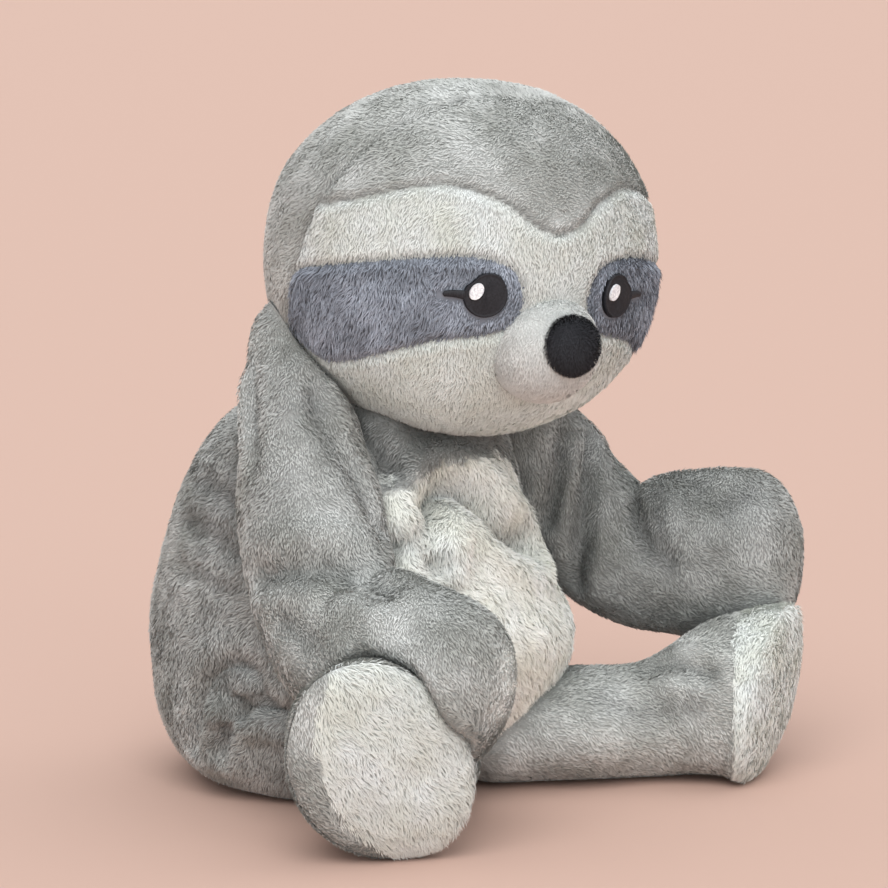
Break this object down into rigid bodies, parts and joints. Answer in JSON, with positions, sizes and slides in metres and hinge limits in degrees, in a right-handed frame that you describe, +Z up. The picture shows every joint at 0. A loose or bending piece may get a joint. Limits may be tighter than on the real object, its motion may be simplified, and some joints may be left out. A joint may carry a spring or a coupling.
{
  "type": "plush sloth",
  "caption": "Sitting plush sloth with a turning, nodding head, arms that lift and legs that splay, sewn covers over soft fillings",
  "frame": {"origin": "middle of the flat seat, on the plane that the toy sits on", "axes": "+Z up, the trunk faces -Y, the toy's right side is at -X"},
  "size_m": [0.4221, 0.3095, 0.3894],
  "materials": {
    "grey_plush": "grey long-pile plush",
    "cream_plush": "cream long-pile plush",
    "slate_plush": "blue-grey long-pile plush",
    "short_plush": "pale short-pile plush",
    "black_plush": "black short-pile plush",
    "black_stitching": "black satin stitch",
    "white_stitching": "white satin stitch",
    "fibre_filling": "polyester fibre filling",
    "pouch_cloth": "plain woven bag of beads"
  },
  "bodies": {
    "torso": {"torso_cover": "grey_plush", "belly_panel": "cream_plush", "torso_stuffing": "fibre_filling", "bead_pouch": "pouch_cloth"},
    "neck": {"neck_stuffing": "fibre_filling"},
    "head": {"head_back_panel": "grey_plush", "crown_panel": "grey_plush", "forehead_panel": "cream_plush", "face_panel": "cream_plush", "eye_patch_right": "slate_plush", "eye_patch_left": "slate_plush", "muzzle": "short_plush", "nose": "black_plush", "eye_right": "black_stitching", "eye_left": "black_stitching", "eye_highlight_right": "white_stitching", "eye_highlight_left": "white_stitching", "head_stuffing": "fibre_filling"},
    "arm_right": {"arm_cover_right": "grey_plush", "arm_stuffing_right": "fibre_filling"},
    "arm_left": {"arm_cover_left": "grey_plush", "arm_stuffing_left": "fibre_filling"},
    "leg_right": {"leg_cover_right": "grey_plush", "sole_right": "cream_plush", "leg_stuffing_right": "fibre_filling"},
    "leg_left": {"leg_cover_left": "grey_plush", "sole_left": "cream_plush", "leg_stuffing_left": "fibre_filling"}
  },
  "joints": [
    {"name": "neck_turn", "type": "hinge", "parent": "torso", "child": "neck", "pos_m": [0, -0.045, 0.218], "axis": [0, 0, 1], "range_deg": [-10, 20]},
    {"name": "head_nod", "type": "hinge", "parent": "neck", "child": "head", "pos_m": [0, -0.045, 0.218], "axis": [0.9272, -0.3746, 0], "range_deg": [-6, 4]},
    {"name": "arm_right_lift", "type": "hinge", "parent": "torso", "child": "arm_right", "pos_m": [-0.084, -0.014, 0.201], "axis": [-0.788, -0.6157, 0], "range_deg": [0, 20]},
    {"name": "arm_left_lift", "type": "hinge", "parent": "torso", "child": "arm_left", "pos_m": [0.084, -0.014, 0.201], "axis": [-1, 0, 0], "range_deg": [0, 20]},
    {"name": "leg_right_splay", "type": "hinge", "parent": "torso", "child": "leg_right", "pos_m": [-0.064, -0.06, 0.0305], "axis": [0, 0, -1], "range_deg": [-4, 8]},
    {"name": "leg_left_splay", "type": "hinge", "parent": "torso", "child": "leg_left", "pos_m": [0.064, -0.06, 0.0305], "axis": [0, 0, 1], "range_deg": [-4, 8]}
  ]
}
